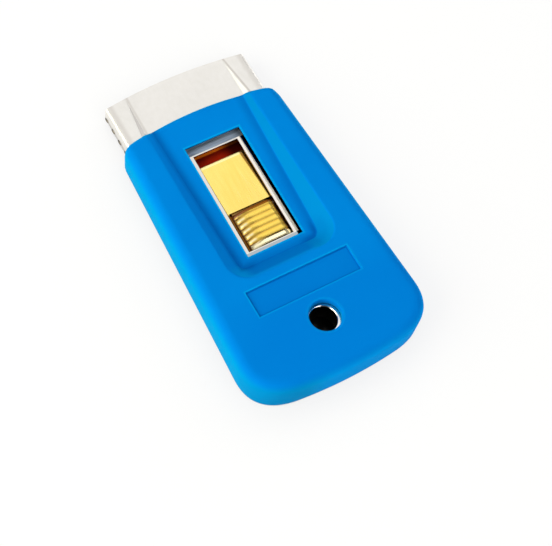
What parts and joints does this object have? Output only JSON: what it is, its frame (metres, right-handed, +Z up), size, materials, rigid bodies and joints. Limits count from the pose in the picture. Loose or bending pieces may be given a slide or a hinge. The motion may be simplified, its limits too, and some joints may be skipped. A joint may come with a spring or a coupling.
{
  "type": "pocket scraper",
  "caption": "Flat pocket scraper: plastic grip cover over a pressed steel sheath, brass thumb slide that pushes a blade out of the mouth, hanging hole.",
  "frame": {"origin": "middle of the bounding box's footprint, on the surface that the cover's back lies on", "axes": "+Y along the scraper towards the mouth, +Z up out of the face with the window, +X to the right seen from above with the mouth away"},
  "size_m": [0.053, 0.098, 0.0118],
  "materials": {
    "cover_plastic": "satin moulded",
    "sheath_steel": "nickel plated, finely brushed",
    "slide_brass": "bright plated",
    "spring_steel": "rolled",
    "blade_steel": "ground"
  },
  "bodies": {
    "holder": {"grip_cover": "cover_plastic", "sheath_front": "sheath_steel", "sheath_back": "sheath_steel"},
    "blade_slide": {"slide_plate": "slide_brass", "blade": "blade_steel", "blade_spine": "spring_steel", "blade_clip_left": "slide_brass", "blade_clip_right": "slide_brass", "clip_rivet_left": "slide_brass", "clip_rivet_right": "slide_brass"},
    "lock_button": {"lock_spring": "spring_steel", "thumb_pad": "slide_brass"}
  },
  "joints": [
    {"name": "blade_slide_travel", "type": "slide", "parent": "holder", "child": "blade_slide", "axis": [0, 1, 0], "range_m": [0, 0.018]},
    {"name": "button_press", "type": "hinge", "parent": "blade_slide", "child": "lock_button", "pos_m": [0, 0.0183, 0.003], "axis": [1, 0, 0], "range_deg": [0, 2], "stiffness_Nm_per_rad": 1.2}
  ]
}
